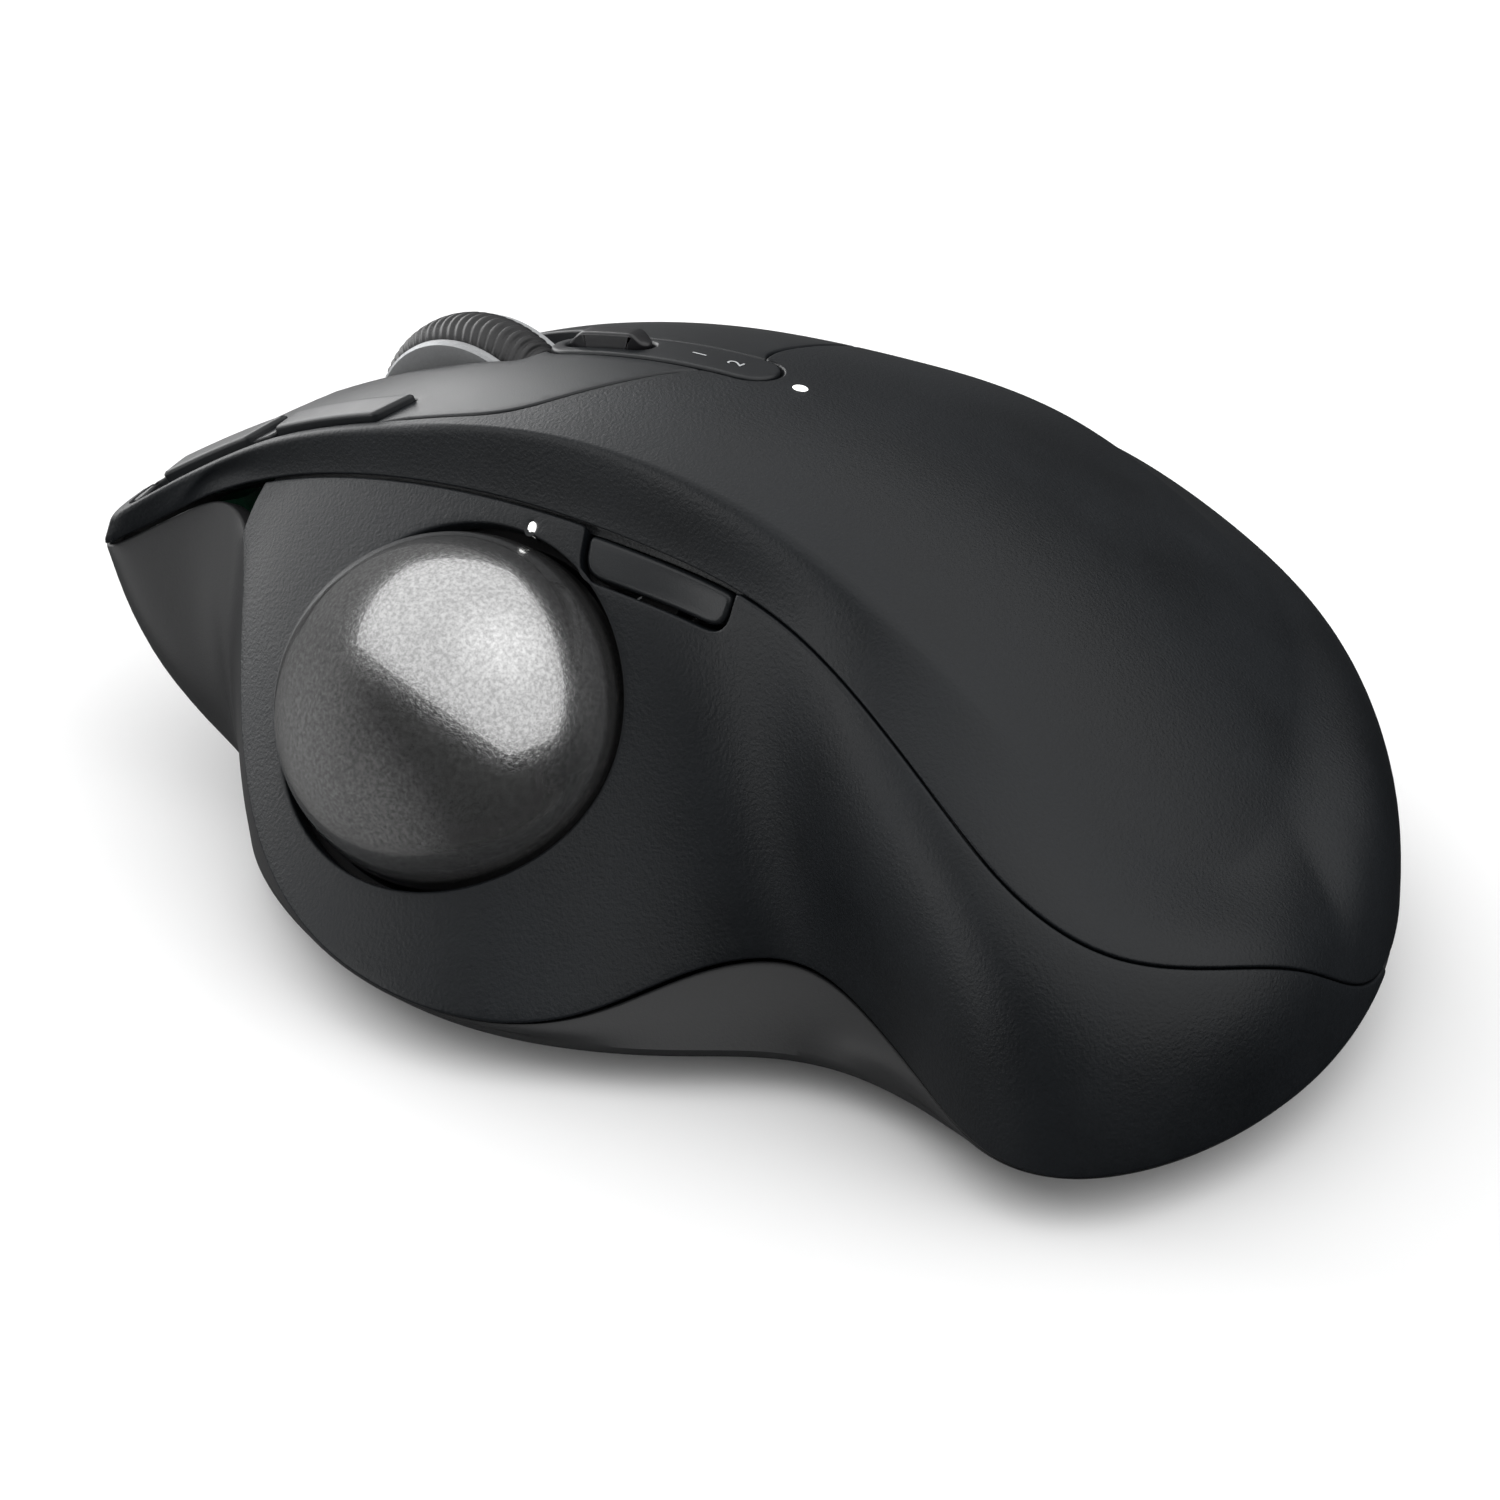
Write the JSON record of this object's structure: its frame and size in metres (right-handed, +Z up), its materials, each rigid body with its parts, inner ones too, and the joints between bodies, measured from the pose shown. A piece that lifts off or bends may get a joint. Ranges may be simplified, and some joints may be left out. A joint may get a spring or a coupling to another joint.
{
  "type": "trackball mouse",
  "caption": "Right-handed thumb trackball mouse with a tilting sculpted body, scroll wheel, main and side buttons, and a hinged steel base plate.",
  "frame": {"origin": "on the desk, on the flat underside of the base pad, near the middle of the outline", "axes": "+X to the user's right, +Y towards the wheel end, +Z up"},
  "size_m": [0.0993, 0.1316, 0.0505],
  "materials": {
    "textured_shell": "fine-grained soft-touch texture",
    "satin_plate": "smooth satin",
    "lower_plastic": "smooth matte",
    "ball": "graphite pearl under clear coat",
    "tyre_rubber": "ribbed",
    "rim_metal": "bead-blasted",
    "steel": "brushed",
    "base_rubber": "matte non-slip",
    "inner_plastic": "moulded",
    "switch_plastic": "moulded",
    "board": "solder mask",
    "ceramic": "polished ceramic bead",
    "clear_lens": "clear optical plastic",
    "white_lens": "translucent white",
    "battery_wrap": "heat-shrink wrap",
    "magnet": "nickel plated",
    "brass": "machined",
    "polyimide": "flexible circuit",
    "chip": "moulded package"
  },
  "bodies": {
    "base": {"base_plate": "steel", "base_pad": "base_rubber", "tilt_pins": "steel"},
    "body": {"hinge_brackets": "steel", "lower_shell": "lower_plastic", "side_shell": "textured_shell", "palm_shell": "textured_shell", "device_panel": "satin_plate", "battery_lens": "white_lens", "precision_lens": "white_lens", "ball_cup": "inner_plastic", "ball_bearings": "ceramic", "sensor_lens": "clear_lens", "sensor_chip": "chip", "inner_frame": "inner_plastic", "main_board": "board", "switch_board": "board", "side_board": "board", "left_switch": "switch_plastic", "right_switch": "switch_plastic", "middle_switch": "switch_plastic", "precision_switch": "switch_plastic", "battery": "battery_wrap", "battery_tray": "inner_plastic", "flex_cable": "polyimide", "body_magnets": "magnet", "charging_port": "steel", "shell_screws": "steel", "standoffs": "brass"},
    "left_main": {"left_button": "satin_plate"},
    "right_main": {"right_button": "satin_plate"},
    "back_key": {"back_button": "satin_plate"},
    "forward_key": {"forward_button": "satin_plate"},
    "precision_key": {"precision_button": "satin_plate"},
    "device_key": {"device_button": "satin_plate"},
    "ball": {"trackball": "ball"},
    "cradle": {"wheel_cradle": "inner_plastic"},
    "yoke": {"wheel_yoke": "inner_plastic", "wheel_encoder": "switch_plastic"},
    "wheel": {"wheel_tyre": "tyre_rubber", "wheel_rim": "rim_metal", "wheel_axle": "steel"},
    "power_key": {"power_slider": "switch_plastic"}
  },
  "joints": [
    {"name": "body_tilt", "type": "hinge", "parent": "base", "child": "body", "pos_m": [0.02172, 0, 0.005], "axis": [0, 1, 0], "range_deg": [0, 20]},
    {"name": "left_press", "type": "hinge", "parent": "body", "child": "left_main", "pos_m": [-0.006, 0.017, 0.047], "axis": [-1, 0, 0], "range_deg": [0, 0.9], "stiffness_Nm_per_rad": 1.5, "springref_deg": -0.69},
    {"name": "right_press", "type": "hinge", "parent": "body", "child": "right_main", "pos_m": [0.018, 0.017, 0.045], "axis": [-1, 0, 0], "range_deg": [0, 0.9], "stiffness_Nm_per_rad": 1.5, "springref_deg": -0.69},
    {"name": "back_press", "type": "slide", "parent": "body", "child": "back_key", "axis": [0, 0, -1], "range_m": [0, 0.0004], "stiffness_N_per_m": 400, "springref_m": -0.0008},
    {"name": "forward_press", "type": "slide", "parent": "body", "child": "forward_key", "axis": [0, 0, -1], "range_m": [0, 0.0004], "stiffness_N_per_m": 400, "springref_m": -0.0008},
    {"name": "precision_press", "type": "slide", "parent": "body", "child": "precision_key", "axis": [0.8078, 0.0587, -0.5865], "range_m": [0, 0.0004], "stiffness_N_per_m": 400, "springref_m": -0.0008},
    {"name": "device_press", "type": "slide", "parent": "body", "child": "device_key", "axis": [0, 0, -1], "range_m": [0, 0.0004], "stiffness_N_per_m": 400, "springref_m": -0.0008},
    {"name": "ball_roll", "type": "hinge", "parent": "body", "child": "ball", "pos_m": [-0.0305, 0.019, 0.0247], "axis": [0, 1, 0], "continuous": true},
    {"name": "wheel_press", "type": "hinge", "parent": "body", "child": "cradle", "pos_m": [0.0018, 0.0145, 0.0185], "axis": [-1, 0, 0], "range_deg": [0, 1.2], "stiffness_Nm_per_rad": 3, "springref_deg": -1.15},
    {"name": "wheel_tilt", "type": "hinge", "parent": "cradle", "child": "yoke", "pos_m": [0.0018, 0.0397, 0.0185], "axis": [0, 1, 0], "range_deg": [-3, 3], "stiffness_Nm_per_rad": 0.25},
    {"name": "wheel_spin", "type": "hinge", "parent": "yoke", "child": "wheel", "pos_m": [0.0018, 0.0397, 0.0335], "axis": [1, 0, 0], "continuous": true},
    {"name": "power_slide", "type": "slide", "parent": "body", "child": "power_key", "axis": [1, 0, 0], "range_m": [0, 0.003]}
  ]
}
